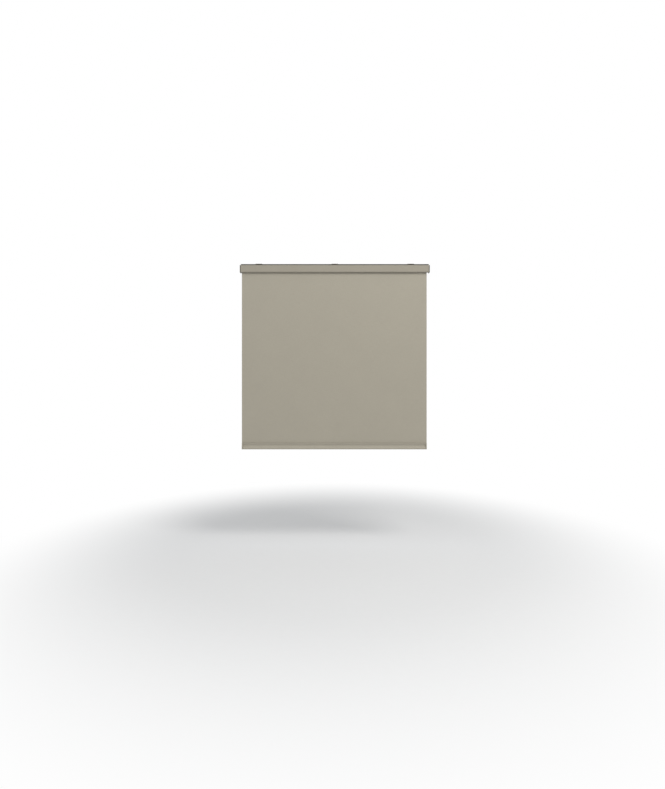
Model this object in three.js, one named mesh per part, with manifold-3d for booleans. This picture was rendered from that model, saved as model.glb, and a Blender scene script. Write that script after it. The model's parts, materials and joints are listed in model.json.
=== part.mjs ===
// Blackout roller blind in a fabric-covered cassette, fixed inside the head of a window recess.
// Millimetres. X runs along the width, Z is up and the room is towards negative Y.
// The origin is the middle of the top mounting face, between the screw holes of the middle clip.

import * as THREE from 'three';
import { mergeVertices } from 'three/addons/utils/BufferGeometryUtils.js';
import Module from 'manifold-3d';

// Overall sizes
const overallWidth = 1200;
const restDrop = 1173.5;
const cassetteHeight = 46;
const cassetteDepth = 62;
const clipHeight = 8.5;

// Gaps that every fit shares
const seatGap = 0.3;
const runningGap = 0.5;
const cutOverrun = 1;

// Fabric and its clearance to the recess, which is wider at the spring
const fabricThickness = 0.38;
const idleSideClearance = 11.5;
const springSideClearance = 18;

// Roller tube
const tubeRadius = 16;
const tubeWall = 1.2;
const tubeOverhang = 1;
const restRollRadius = 18;
const fullRollRadius = 21.3;
const rollHeadroom = 1.2;
const keyRibWidth = 1.6;
const keyRibHeight = 1.5;
const keyRibAngles = [Math.PI * 7 / 6, Math.PI * 11 / 6];
const grooveMouth = 4;
const grooveFloor = 6.5;
const grooveDepth = 3.2;

// Fascia and its covering
const fasciaWall = 1.8;
const fasciaSkin = 0.5;
const fasciaTopRadius = 2.6;
const fasciaBendRadius = 6;
const fasciaReturn = 0.6;
const fasciaLip = 3.5;
const fasciaSkinTopReturn = 5;
const hookDepth = 3;
const hookSetback = 8;

// Head rail
const railWall = 1.8;
const railRearHeight = 24;
const railToe = 5;
const flangeInset = 11;
const flangeReach = 5;
const flangeWall = 1.2;
const screwChannelRadius = 3.2;
const screwChannelMouth = 1.6;
const frontChannelInset = 5;
const rearChannelInset = 7;

// Mounting clips
const clipWall = 1.5;
const clipWidth = 40;
const clipEndDistance = 120;
const clipHoleRadius = 2.3;
const clipHoleSpacing = 24;
const clipCornerRadius = 4;

// End caps and their screws
const capPlate = 5;
const capRearHeight = 34;
const capUndercut = 26;
const capTongue = 10;
const capTongueWall = 1.5;
const capTongueInset = 4;
const capScrewRadius = 1.4;
const capScrewHeadRadius = 3;
const capScrewHeadDepth = 1.6;
const capScrewLength = 14;
const capScrewSocketRadius = 1.2;
const capScrewSocketDepth = 1;

// Roller brackets and the pegs that hold them to the caps
const bracketPlate = 1.6;
const bracketInset = 8;
const bracketHeight = 26;
const bracketCornerRadius = 7;
const pegInset = 5;
const pegRadius = 2;
const pegHeadRadius = 3.2;
const pegHeadHeight = 0.8;

// Idle end
const idlePinRadius = 3;
const idlePinCollarRadius = 4.5;
const idlePinCollarLength = 3;
const idlePinTailRadius = 1.8;
const idlePinChamfer = 0.8;
const idlePinTravel = 5;
const idlePlugLength = 40;
const idleSpringPressed = 19;
const idleSpringWire = 0.4;
const idleSpringRadius = 3.4;
const idleSpringCurls = 8;
const bushWall = 2;
const bushFlangeRadius = 7;
const bushFlange = 1;

// Plugs in the tube
const plugFlangeRadius = 17.2;
const plugFlange = 1.5;
const plugEndWall = 3;
const plugShell = 2.1;
const plugHubWall = 1.5;
const plugWebs = 6;
const plugWebWidth = 1.4;

// Spring end
const shaftRadius = 3;
const shaftLength = 262;
const tangThickness = 3;
const tangLength = 7;
const collarEndGap = 1.8;
const springPlugLength = 38;
const brakeDrumRadius = 8;
const brakeDrumLength = 24;
const brakeDrumFlangeRadius = 9.5;
const brakeDrumFlange = 2;
const brakeDrumInset = 5;
const brakeWire = 0.7;
const brakeCurls = 6;
const brakePitch = 2.6;
const coneSpacing = 6;
const coneHubLength = 24;
const coneFlange = 8;
const fixedConeFlangeRadius = 10.4;
const springWire = 0.9;
const springRadius = 9.4;
const springCurls = 30;
const springPitch = 5;
const driveConeFlange = 12;

// Bottom bar
const barHeight = 41;
const barLip = 2.2;
const barLipFront = 6.5;
const barCoveFront = 0.4;
const barCoveHeight = 22;
const barCoveRoundShare = 0.5;
const barNoseFront = 8.5;
const barNoseHeight = 9;
const barNoseRoundShare = 0.35;
const barBack = 5;
const barNoseRadius = 4;
const barBackRadius = 2;
const barWall = 1.4;
const barWebHeight = 18;
const barSlotWidth = 1.5;
const barSlotDepth = 4.5;
const splinePocketDepth = 6;
const splinePocketBack = 3;
const splineThickness = 1.8;
const barSkin = 0.5;
const barCapWidth = 8;
const barCapTongue = 14;
const barLeastRadius = 0.5;
const weightThickness = 4;
const weightHeight = 8.5;
const weightEndGap = 40;

// How finely round things are drawn
const bendSteps = 5;
const roundSteps = 32;
const smallRoundSteps = 16;
const screwSteps = 12;
const coilSteps = 8;
const coilSides = 5;
const weldDistance = 0.0001;

const quarter = Math.PI / 2;
const half = Math.PI;

// Places that several pieces share
const frontFace = -cassetteDepth / 2;
const backFace = cassetteDepth / 2;
const cassetteTop = -clipHeight;
const cassetteBottom = -clipHeight - cassetteHeight;
const rollerAxisHeight = -(clipHeight + railWall + rollHeadroom + fullRollRadius);
const flangeSpread = cassetteDepth / 2 - flangeInset;
const bracketWidth = cassetteDepth - 2 * bracketInset;
const pegSpacing = bracketWidth - 2 * pegInset;
const capInner = overallWidth / 2 - capPlate;
const bracketOuter = capInner - seatGap;
const bracketInner = bracketOuter - bracketPlate;
const fabricStart = -(overallWidth / 2 - idleSideClearance);
const fabricEnd = overallWidth / 2 - springSideClearance;
const tubeStart = fabricStart - tubeOverhang;
const tubeEnd = fabricEnd + tubeOverhang;
const tubeBore = tubeRadius - tubeWall;
const pocketRadius = tubeRadius - grooveDepth - tubeWall;
const pocketHalfWidth = grooveFloor / 2 + tubeWall;
const plugRadius = tubeBore - seatGap;
const skinOffset = fasciaSkin + seatGap;

// Materials
const fabricMaterial = new THREE.MeshStandardMaterial({ color: 0xa6a092, roughness: 0.9, metalness: 0 });
const fabricBackMaterial = new THREE.MeshStandardMaterial({ color: 0xb4afa2, roughness: 0.8, metalness: 0 });
const taupePlastic = new THREE.MeshStandardMaterial({ color: 0x9d9788, roughness: 0.55, metalness: 0 });
const darkPlastic = new THREE.MeshStandardMaterial({ color: 0x4d4a42, roughness: 0.6, metalness: 0 });
const whitePlastic = new THREE.MeshStandardMaterial({ color: 0xdfddd6, roughness: 0.5, metalness: 0 });
const aluminium = new THREE.MeshStandardMaterial({ color: 0xc4c5c6, roughness: 0.4, metalness: 1 });
const coatedAluminium = new THREE.MeshStandardMaterial({ color: 0xa39d8f, roughness: 0.5, metalness: 0.2 });
const darkAluminium = new THREE.MeshStandardMaterial({ color: 0x403d37, roughness: 0.5, metalness: 0.2 });
const darkSteel = new THREE.MeshStandardMaterial({ color: 0x55524a, roughness: 0.5, metalness: 0.3 });
const zincSteel = new THREE.MeshStandardMaterial({ color: 0xb3b5b8, roughness: 0.35, metalness: 1 });
const springSteel = new THREE.MeshStandardMaterial({ color: 0x8c8f94, roughness: 0.3, metalness: 1 });

// Solids for joins and cuts

const wasm = await Module();
wasm.setup();

function toSolid(geometry) {
	const bare = geometry.clone();
	bare.deleteAttribute('normal');
	bare.deleteAttribute('uv');
	const merged = mergeVertices(bare, weldDistance);
	const index = merged.index.array;
	const kept = [];
	for (let i = 0; i < index.length; i += 3) {
		const [a, b, c] = [index[i], index[i + 1], index[i + 2]];
		if (a !== b && b !== c && c !== a) {
			kept.push(a, b, c);
		}
	}
	const vertProperties = merged.attributes.position.array;
	const triVerts = new Uint32Array(kept);
	return new wasm.Manifold(new wasm.Mesh({ numProp: 3, vertProperties, triVerts }));
}

function toGeometry(solid) {
	const mesh = solid.getMesh();
	const geometry = new THREE.BufferGeometry();
	geometry.setAttribute('position', new THREE.BufferAttribute(new Float32Array(mesh.vertProperties), 3));
	geometry.setIndex(new THREE.BufferAttribute(new Uint32Array(mesh.triVerts), 1));
	geometry.computeVertexNormals();
	return geometry;
}

function join(first, ...others) {
	let solid = toSolid(first);
	for (const other of others) {
		solid = solid.add(toSolid(other));
	}
	return toGeometry(solid);
}

function cut(geometry, ...tools) {
	let solid = toSolid(geometry);
	for (const tool of tools) {
		solid = solid.subtract(toSolid(tool));
	}
	return toGeometry(solid);
}

function common(first, second) {
	return toGeometry(toSolid(first).intersect(toSolid(second)));
}

// Shapes are drawn in the side view, with Y to the right and Z up, and run along the width

const widthwise = new THREE.Matrix4().makeBasis(
	new THREE.Vector3(0, 1, 0),
	new THREE.Vector3(0, 0, 1),
	new THREE.Vector3(1, 0, 0),
);

function alongWidth(shape, start, end, curveSegments = bendSteps) {
	const settings = { depth: end - start, bevelEnabled: false, curveSegments };
	const geometry = new THREE.ExtrudeGeometry(shape, settings);
	geometry.applyMatrix4(widthwise);
	geometry.translate(start, 0, 0);
	return geometry;
}

// The same between two distances from the middle: side is 1 at the spring end and -1 at the idle end
function atSide(side, shape, near, far, curveSegments = bendSteps) {
	if (side > 0) {
		return alongWidth(shape, near, far, curveSegments);
	}
	return alongWidth(shape, -far, -near, curveSegments);
}

// A round piece about the X axis from a closed profile of places along the axis and radii
function turned(profile, steps = roundSteps) {
	const points = profile.map(([along, radius]) => new THREE.Vector2(radius, along));
	if (THREE.ShapeUtils.isClockWise(points)) {
		points.reverse();
	}
	if (points.every((point) => point.x > 0)) {
		points.push(points[0].clone());
	} else {
		while (points[0].x > 0 || points[points.length - 1].x > 0) {
			points.push(points.shift());
		}
	}
	const geometry = new THREE.LatheGeometry(points, steps);
	geometry.rotateZ(-quarter);
	return geometry;
}

function rod(radius, start, end, steps = smallRoundSteps) {
	return turned([[start, 0], [start, radius], [end, radius], [end, 0]], steps);
}

function ring(outer, inner, start, end, steps = roundSteps) {
	return turned([[start, inner], [start, outer], [end, outer], [end, inner]], steps);
}

function rectangle(left, bottom, right, top) {
	const shape = new THREE.Shape();
	shape.moveTo(left, bottom);
	shape.lineTo(right, bottom);
	shape.lineTo(right, top);
	shape.lineTo(left, top);
	shape.closePath();
	return shape;
}

function roundedRectangle(width, height, radius) {
	const x = width / 2 - radius;
	const y = height / 2 - radius;
	const shape = new THREE.Shape();
	shape.absarc(x, y, radius, 0, quarter, false);
	shape.absarc(-x, y, radius, quarter, half, false);
	shape.absarc(-x, -y, radius, half, half + quarter, false);
	shape.absarc(x, -y, radius, half + quarter, 2 * half, false);
	shape.closePath();
	return shape;
}

// Points moved sideways from a line by a distance, mitred at its corners
function offsetPoints(points, distance, closed = false) {
	const count = points.length;
	return points.map((point, i) => {
		const before = closed ? points[(i + count - 1) % count] : points[Math.max(i - 1, 0)];
		const after = closed ? points[(i + 1) % count] : points[Math.min(i + 1, count - 1)];
		const arriving = point.clone().sub(before).normalize();
		const leaving = after.clone().sub(point).normalize();
		const into = arriving.lengthSq() > 0 ? arriving : leaving;
		const out = leaving.lengthSq() > 0 ? leaving : arriving;
		const normal = new THREE.Vector2(-into.y - out.y, into.x + out.x).normalize();
		const stretch = normal.dot(new THREE.Vector2(-into.y, into.x));
		return point.clone().addScaledVector(normal, distance / stretch);
	});
}

// The points of a path, once each where a line meets an arc
function pointsOf(line) {
	const points = [];
	for (const point of line.getPoints(bendSteps)) {
		if (points.length === 0 || point.distanceTo(points[points.length - 1]) > weldDistance) {
			points.push(point);
		}
	}
	return points;
}

// A wall of even thickness on both sides of a centre line
function wallAlong(line, thickness) {
	const points = pointsOf(line);
	const left = offsetPoints(points, thickness / 2);
	const right = offsetPoints(points, -thickness / 2);
	return new THREE.Shape([...left, ...right.reverse()]);
}

// A wire wound about the X axis, straight for one wire diameter at each end
function wound(radius, wire, pitch, curls, start) {
	const centres = [];
	const radials = [];
	for (let i = 0; i <= curls * coilSteps; i += 1) {
		const angle = i / coilSteps * 2 * half;
		const radial = new THREE.Vector3(0, Math.cos(angle), Math.sin(angle));
		radials.push(radial);
		const along = start + i / coilSteps * pitch;
		centres.push(new THREE.Vector3(along, 0, 0).addScaledVector(radial, radius));
	}
	addStraightEnd(centres, radials, wire, 'unshift', 0, 1);
	addStraightEnd(centres, radials, wire, 'push', centres.length - 1, centres.length - 2);
	return { geometry: tubeThrough(centres, radials, wire), gap: leastGap(centres, wire) };
}

function addStraightEnd(centres, radials, wire, method, last, beforeLast) {
	const direction = centres[last].clone().sub(centres[beforeLast]).normalize();
	direction.addScaledVector(radials[last], -direction.dot(radials[last])).normalize();
	centres[method](centres[last].clone().addScaledVector(direction, 2 * wire));
	radials[method](radials[last].clone());
}

function tubeThrough(centres, radials, wire) {
	const positions = [];
	const axis = new THREE.Vector3(1, 0, 0);
	centres.forEach((centre, i) => {
		for (let side = 0; side < coilSides; side += 1) {
			const turn = side / coilSides * 2 * half;
			const corner = centre.clone();
			corner.addScaledVector(radials[i], wire * Math.cos(turn));
			corner.addScaledVector(axis, wire * Math.sin(turn));
			positions.push(corner.x, corner.y, corner.z);
		}
	});
	const index = [];
	for (let i = 0; i + 1 < centres.length; i += 1) {
		for (let side = 0; side < coilSides; side += 1) {
			const a = i * coilSides + side;
			const b = i * coilSides + (side + 1) % coilSides;
			index.push(a, a + coilSides, b, b, a + coilSides, b + coilSides);
		}
	}
	const lastRing = (centres.length - 1) * coilSides;
	for (let side = 1; side + 1 < coilSides; side += 1) {
		index.push(0, side, side + 1);
		index.push(lastRing, lastRing + side + 1, lastRing + side);
	}
	const geometry = new THREE.BufferGeometry();
	geometry.setAttribute('position', new THREE.Float32BufferAttribute(positions, 3));
	geometry.setIndex(index);
	geometry.computeVertexNormals();
	return geometry;
}

function leastGap(centres, wire) {
	let least = Infinity;
	for (let i = 0; i < centres.length; i += 1) {
		for (let j = i + coilSteps / 2; j < centres.length; j += 1) {
			least = Math.min(least, centres[i].distanceTo(centres[j]) - 2 * wire);
		}
	}
	return least;
}

// The flats between the drawn steps of a coil lie closer to its axis than its corners
const coilFlat = Math.cos(half / coilSteps);

function piece(name, geometry, material) {
	const mesh = new THREE.Mesh(geometry, material);
	mesh.name = name;
	return mesh;
}

// Head rail: a step at the front for the fascia's hook, flanges on top for the clips,
// screw channels for the end caps and a short wall with a toe at the rear

const fasciaTop = cassetteTop - skinOffset;
const hookY = frontFace + skinOffset + hookSetback;
const hookBottom = fasciaTop - fasciaWall - hookDepth;
const railLipY = hookY - fasciaWall / 2 - seatGap - railWall / 2;
const railLipTop = fasciaTop - fasciaWall - seatGap;
const railStepHeight = hookBottom - seatGap - railWall / 2;
const railRiserY = hookY + fasciaWall / 2 + runningGap + railWall / 2;
const railPlateHeight = cassetteTop - railWall / 2;
const railRearY = backFace - railWall / 2;
const flangeTop = -clipWall - seatGap;
const channelHeight = cassetteTop - screwChannelRadius - railWall / 2;
const channelBore = capScrewRadius + seatGap;
const channelPlaces = [railRiserY + frontChannelInset, railRearY - rearChannelInset];

function railBody() {
	const line = new THREE.Path();
	line.moveTo(railLipY, railLipTop);
	line.lineTo(railLipY, railStepHeight);
	line.lineTo(railRiserY, railStepHeight);
	line.lineTo(railRiserY, railPlateHeight);
	line.lineTo(railRearY, railPlateHeight);
	line.lineTo(railRearY, cassetteTop - railRearHeight);
	line.lineTo(railRearY - railToe, cassetteTop - railRearHeight);
	return wallAlong(line, railWall);
}

function railFlange(side) {
	const line = new THREE.Path();
	line.moveTo(side * flangeSpread, railPlateHeight);
	line.lineTo(side * flangeSpread, flangeTop - flangeWall / 2);
	line.lineTo(side * (flangeSpread + flangeReach), flangeTop - flangeWall / 2);
	return wallAlong(line, flangeWall);
}

function screwChannel(y) {
	const outline = new THREE.Shape();
	outline.absarc(y, channelHeight, screwChannelRadius, 0, 2 * half, false);
	const bore = new THREE.Path();
	bore.absarc(y, channelHeight, channelBore, 0, 2 * half, true);
	outline.holes.push(bore);
	const mouth = rectangle(
		y - screwChannelMouth / 2,
		channelHeight - screwChannelRadius - cutOverrun,
		y + screwChannelMouth / 2,
		channelHeight,
	);
	return { outline, mouth };
}

function headRail() {
	const start = -capInner + seatGap;
	const end = capInner - seatGap;
	const parts = [alongWidth(railBody(), start, end)];
	parts.push(alongWidth(railFlange(1), start, end));
	parts.push(alongWidth(railFlange(-1), start, end));
	for (const y of channelPlaces) {
		const { outline, mouth } = screwChannel(y);
		const channel = alongWidth(outline, start, end, bendSteps);
		parts.push(cut(channel, alongWidth(mouth, start - cutOverrun, end + cutOverrun)));
	}
	return piece('head_rail', join(...parts), darkAluminium);
}

// Fascia: it hooks behind the rail's lip, and its lower edge turns under towards the fabric

function fasciaLine(outward, startReturn, endLip) {
	const wallY = frontFace + skinOffset + fasciaWall / 2 - outward;
	const topZ = fasciaTop - fasciaWall / 2 + outward;
	const bottomZ = cassetteBottom + skinOffset + fasciaWall / 2 - outward;
	const topRadius = fasciaTopRadius - skinOffset - fasciaWall / 2 + outward;
	const bendRadius = fasciaBendRadius - skinOffset - fasciaWall / 2 + outward;
	const returnY = wallY + bendRadius + fasciaReturn;
	const line = new THREE.Path();
	if (startReturn === null) {
		line.moveTo(hookY, hookBottom);
		line.lineTo(hookY, topZ);
	} else {
		line.moveTo(wallY + topRadius + startReturn, topZ);
	}
	line.lineTo(wallY + topRadius, topZ);
	line.absarc(wallY + topRadius, topZ - topRadius, topRadius, quarter, half, false);
	line.lineTo(wallY, bottomZ + bendRadius);
	line.absarc(wallY + bendRadius, bottomZ + bendRadius, bendRadius, half, half + quarter, false);
	line.lineTo(returnY, bottomZ);
	if (endLip) {
		line.lineTo(returnY, bottomZ + fasciaLip);
	}
	return line;
}

function frontFascia() {
	const shape = wallAlong(fasciaLine(0, null, true), fasciaWall);
	return piece('front_fascia', alongWidth(shape, -capInner + seatGap, capInner - seatGap), coatedAluminium);
}

function fasciaFabric() {
	const outward = (fasciaWall + fasciaSkin) / 2 + seatGap;
	const shape = wallAlong(fasciaLine(outward, fasciaSkinTopReturn, false), fasciaSkin);
	return piece('fascia_fabric', alongWidth(shape, -capInner + seatGap, capInner - seatGap), fabricMaterial);
}

// Mounting clips: each wraps the rail's two flanges and is screwed up through its plate

function clipSection() {
	const legY = flangeSpread + flangeReach + seatGap + clipWall;
	const lipY = flangeSpread + flangeWall / 2 + runningGap;
	const plateZ = -clipWall / 2;
	const lipZ = flangeTop - flangeWall - seatGap - clipWall / 2;
	const line = new THREE.Path();
	line.moveTo(-lipY, lipZ);
	line.lineTo(-legY, lipZ);
	line.lineTo(-legY, plateZ);
	line.lineTo(legY, plateZ);
	line.lineTo(legY, lipZ);
	line.lineTo(lipY, lipZ);
	return wallAlong(line, clipWall);
}

function mountingClip(name, x) {
	const body = alongWidth(clipSection(), -clipWidth / 2, clipWidth / 2);
	const holes = [-1, 1].map((side) => {
		const depth = clipWall + 2 * cutOverrun;
		const hole = new THREE.CylinderGeometry(clipHoleRadius, clipHoleRadius, depth, smallRoundSteps);
		hole.rotateX(quarter);
		hole.translate(side * clipHoleSpacing / 2, 0, -clipWall / 2);
		return hole;
	});
	const outline = roundedRectangle(clipWidth, cassetteDepth, clipCornerRadius);
	const settings = { depth: clipHeight + cutOverrun, bevelEnabled: false, curveSegments: bendSteps };
	const trim = new THREE.ExtrudeGeometry(outline, settings);
	trim.translate(0, 0, -clipHeight);
	const mesh = piece(name, cut(common(body, trim), ...holes), darkSteel);
	mesh.position.x = x;
	return mesh;
}

// End caps: they close the cassette's ends, carry the roller brackets on two pegs,
// and are screwed into the rail's channels

function capOutline() {
	const shape = new THREE.Shape();
	const bendY = frontFace + fasciaBendRadius;
	const bendZ = cassetteBottom + fasciaBendRadius;
	const topY = frontFace + fasciaTopRadius;
	shape.moveTo(backFace, cassetteTop);
	shape.lineTo(topY, cassetteTop);
	shape.absarc(topY, cassetteTop - fasciaTopRadius, fasciaTopRadius, quarter, half, false);
	shape.lineTo(frontFace, bendZ);
	shape.absarc(bendY, bendZ, fasciaBendRadius, half, half + quarter, false);
	shape.lineTo(backFace - capUndercut, cassetteBottom);
	shape.lineTo(backFace, cassetteTop - capRearHeight);
	shape.closePath();
	return shape;
}

function capFrontTongue() {
	const y = frontFace + skinOffset + fasciaWall + seatGap + capTongueWall / 2;
	const line = new THREE.Path();
	line.moveTo(y, railStepHeight - railWall / 2 - capTongueInset);
	line.lineTo(y, cassetteBottom + fasciaBendRadius);
	return wallAlong(line, capTongueWall);
}

function capRearTongue() {
	const y = backFace - railWall - seatGap - capTongueWall / 2;
	const line = new THREE.Path();
	line.moveTo(y, cassetteTop - railWall - capTongueInset);
	line.lineTo(y, cassetteTop - railRearHeight + railWall / 2 + seatGap);
	return wallAlong(line, capTongueWall);
}

function peg(side, place) {
	const head = bracketInner - seatGap;
	const profile = [
		[side * (capInner + capPlate / 2), 0],
		[side * (capInner + capPlate / 2), pegRadius],
		[side * head, pegRadius],
		[side * head, pegHeadRadius],
		[side * (head - pegHeadHeight), pegHeadRadius / 2],
		[side * (head - pegHeadHeight), 0],
	];
	const geometry = turned(profile, smallRoundSteps);
	geometry.translate(0, place * pegSpacing / 2, rollerAxisHeight);
	return geometry;
}

function screwHole(side, y) {
	const face = overallWidth / 2;
	const widest = capScrewHeadRadius + seatGap;
	const narrow = capScrewRadius + seatGap;
	const profile = [
		[side * (capInner - cutOverrun), 0],
		[side * (capInner - cutOverrun), narrow],
		[side * (face - capScrewHeadDepth), narrow],
		[side * face, widest],
		[side * (face + cutOverrun), widest],
		[side * (face + cutOverrun), 0],
	];
	const geometry = turned(profile, screwSteps);
	geometry.translate(0, y, channelHeight);
	return geometry;
}

function endCap(name, side) {
	const plate = atSide(side, capOutline(), capInner, overallWidth / 2);
	const tongueFar = capInner + capPlate / 2;
	const tongues = [capFrontTongue(), capRearTongue()].map(
		(shape) => atSide(side, shape, capInner - capTongue, tongueFar),
	);
	const whole = join(plate, ...tongues, peg(side, 1), peg(side, -1));
	const holes = channelPlaces.map((y) => screwHole(side, y));
	return piece(name, cut(whole, ...holes), darkPlastic);
}

function capScrew(name, side, y) {
	const face = overallWidth / 2 - seatGap;
	const tip = face - capScrewLength;
	const profile = [
		[side * (face - capScrewSocketDepth), 0],
		[side * (face - capScrewSocketDepth), capScrewSocketRadius],
		[side * face, capScrewSocketRadius],
		[side * face, capScrewHeadRadius],
		[side * (face - capScrewHeadDepth), capScrewRadius],
		[side * (tip + 2 * capScrewRadius), capScrewRadius],
		[side * tip, 0],
	];
	const mesh = piece(name, turned(profile, screwSteps), zincSteel);
	mesh.position.set(0, y, channelHeight);
	return mesh;
}

// Roller brackets: steel plates on the pegs, one with a bush for the pin and one with a slot for the tang

function bracketShape() {
	const shape = roundedRectangle(bracketWidth, bracketHeight, bracketCornerRadius);
	for (const place of [-1, 1]) {
		const hole = new THREE.Path();
		hole.absarc(place * pegSpacing / 2, 0, pegRadius + seatGap, 0, 2 * half, true);
		shape.holes.push(hole);
	}
	return shape;
}

const bushRadius = idlePinRadius + seatGap + bushWall;

function idleBracket() {
	const shape = bracketShape();
	const hole = new THREE.Path();
	hole.absarc(0, 0, bushRadius + seatGap, 0, 2 * half, true);
	shape.holes.push(hole);
	const mesh = piece('idle_bracket', atSide(-1, shape, bracketInner, bracketOuter, smallRoundSteps), zincSteel);
	mesh.position.z = rollerAxisHeight;
	return mesh;
}

function springBracket() {
	const shape = bracketShape();
	const slot = new THREE.Path();
	const width = shaftRadius + seatGap;
	const height = tangThickness / 2 + seatGap;
	slot.moveTo(-width, -height);
	slot.lineTo(-width, height);
	slot.lineTo(width, height);
	slot.lineTo(width, -height);
	slot.closePath();
	shape.holes.push(slot);
	const mesh = piece('spring_bracket', atSide(1, shape, bracketInner, bracketOuter, smallRoundSteps), zincSteel);
	mesh.position.z = rollerAxisHeight;
	return mesh;
}

function idleBush() {
	const flangeFace = bracketInner - seatGap;
	const bore = idlePinRadius + seatGap;
	const profile = [
		[-bracketOuter, bore],
		[-bracketOuter, bushRadius],
		[-flangeFace, bushRadius],
		[-flangeFace, bushFlangeRadius],
		[-(flangeFace - bushFlange), bushFlangeRadius],
		[-(flangeFace - bushFlange), bore],
	];
	const mesh = piece('idle_bush', turned(profile), whitePlastic);
	mesh.position.z = rollerAxisHeight;
	return mesh;
}

// Roller tube: a dovetail groove for the fabric's strip, whose pocket keys the plugs, and two ribs

function grooveShape(extra) {
	const mouth = grooveMouth / 2 + extra;
	const floor = grooveFloor / 2 + extra;
	const bottom = tubeRadius - grooveDepth - extra;
	const shape = new THREE.Shape();
	shape.moveTo(-floor, bottom);
	shape.lineTo(floor, bottom);
	shape.lineTo(mouth, tubeRadius + (extra > 0 ? -tubeWall / 2 : cutOverrun));
	shape.lineTo(-mouth, tubeRadius + (extra > 0 ? -tubeWall / 2 : cutOverrun));
	shape.closePath();
	return shape;
}

function aboutAxis(geometry, angle) {
	geometry.rotateX(angle);
	return geometry;
}

function rollerTube() {
	const wall = ring(tubeRadius, tubeBore, tubeStart, tubeEnd);
	const pocket = alongWidth(grooveShape(tubeWall), tubeStart, tubeEnd);
	const ribs = keyRibAngles.map((angle) => {
		const shape = rectangle(tubeBore - keyRibHeight, -keyRibWidth / 2, tubeBore + tubeWall / 2, keyRibWidth / 2);
		return aboutAxis(alongWidth(shape, tubeStart, tubeEnd), angle);
	});
	const groove = alongWidth(grooveShape(0), tubeStart - cutOverrun, tubeEnd + cutOverrun);
	return piece('roller_tube', cut(join(wall, pocket, ...ribs), groove), aluminium);
}

function keyways(start, end) {
	const clear = pocketHalfWidth + seatGap;
	const pocket = rectangle(-clear, pocketRadius - seatGap, clear, tubeRadius);
	const tools = [alongWidth(pocket, start, end)];
	for (const angle of keyRibAngles) {
		const side = keyRibWidth / 2 + seatGap;
		const shape = rectangle(tubeBore - keyRibHeight - seatGap, -side, tubeRadius, side);
		tools.push(aboutAxis(alongWidth(shape, start, end), angle));
	}
	return tools;
}

function fixingStrip() {
	const shape = new THREE.Shape();
	const floor = grooveFloor / 2 - seatGap;
	const bottom = tubeRadius - grooveDepth + seatGap;
	const top = tubeRadius - seatGap;
	const mouth = grooveMouth / 2 - seatGap;
	shape.moveTo(-floor, bottom);
	shape.lineTo(floor, bottom);
	shape.lineTo(mouth, top);
	shape.lineTo(-mouth, top);
	shape.closePath();
	return piece('fabric_fixing_strip', alongWidth(shape, fabricStart, fabricEnd), whitePlastic);
}

// Fabric left on the roller: its last turn is a spiral that ends where the panel hangs down
function fabricRoll() {
	const outline = [];
	const fall = fabricThickness + seatGap;
	for (let i = 0; i <= roundSteps; i += 1) {
		const share = i / roundSteps;
		const angle = half - share * 2 * half;
		const radius = restRollRadius - share * fall;
		outline.push(new THREE.Vector2(radius * Math.cos(angle), radius * Math.sin(angle)));
	}
	const shape = new THREE.Shape(outline.reverse());
	const bore = new THREE.Path();
	bore.absarc(0, 0, tubeRadius + seatGap, 0, 2 * half, true);
	shape.holes.push(bore);
	return piece('fabric_roll', alongWidth(shape, fabricStart, fabricEnd, smallRoundSteps), fabricMaterial);
}

// Idle end: a webbed plug in the tube, with a sprung pin that can be pressed in to free the roller

const idlePlugFlangeInner = -(tubeStart - seatGap);
const idlePlugFace = idlePlugFlangeInner + plugFlange;
const idlePlugInner = idlePlugFlangeInner - idlePlugLength;
const idleChamberFace = idlePlugFace - plugEndWall;
const idleChamberRadius = idlePinCollarRadius + seatGap;
const idleHubRadius = idleChamberRadius + plugHubWall;
const idleCollarFace = idleChamberFace - seatGap;
const idleSpringRoom = idleSpringPressed + idlePinTravel;
const idleSpringEnd = idleCollarFace - idlePinCollarLength - idleSpringRoom;

function idlePlug() {
	const hub = turned([
		[-idlePlugFace, idlePinRadius + seatGap],
		[-idlePlugFace, idleHubRadius],
		[-(idleSpringEnd - plugEndWall), idleHubRadius],
		[-(idleSpringEnd - plugEndWall), idlePinTailRadius + seatGap],
		[-idleSpringEnd, idlePinTailRadius + seatGap],
		[-idleSpringEnd, idleChamberRadius],
		[-idleChamberFace, idleChamberRadius],
		[-idleChamberFace, idlePinRadius + seatGap],
	]);
	const flange = ring(plugFlangeRadius, idleHubRadius - plugHubWall / 2, -idlePlugFace, -idlePlugFlangeInner);
	const shell = ring(plugRadius, plugRadius - plugShell, -idlePlugFace + plugFlange / 2, -idlePlugInner);
	const webs = [];
	for (let i = 0; i < plugWebs; i += 1) {
		const near = idleHubRadius - plugHubWall / 2;
		const far = plugRadius - plugShell / 2;
		const shape = rectangle(near, -plugWebWidth / 2, far, plugWebWidth / 2);
		const webStart = -idlePlugFace + plugFlange / 2;
		const web = alongWidth(shape, webStart, -(idleSpringEnd - plugEndWall / 2));
		webs.push(aboutAxis(web, i / plugWebs * 2 * half));
	}
	const whole = join(hub, flange, shell, ...webs);
	const tools = keyways(-idlePlugFlangeInner, -idlePlugInner + cutOverrun);
	return piece('idle_plug', cut(whole, ...tools), darkPlastic);
}

const idlePinTip = capInner - runningGap;

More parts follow.
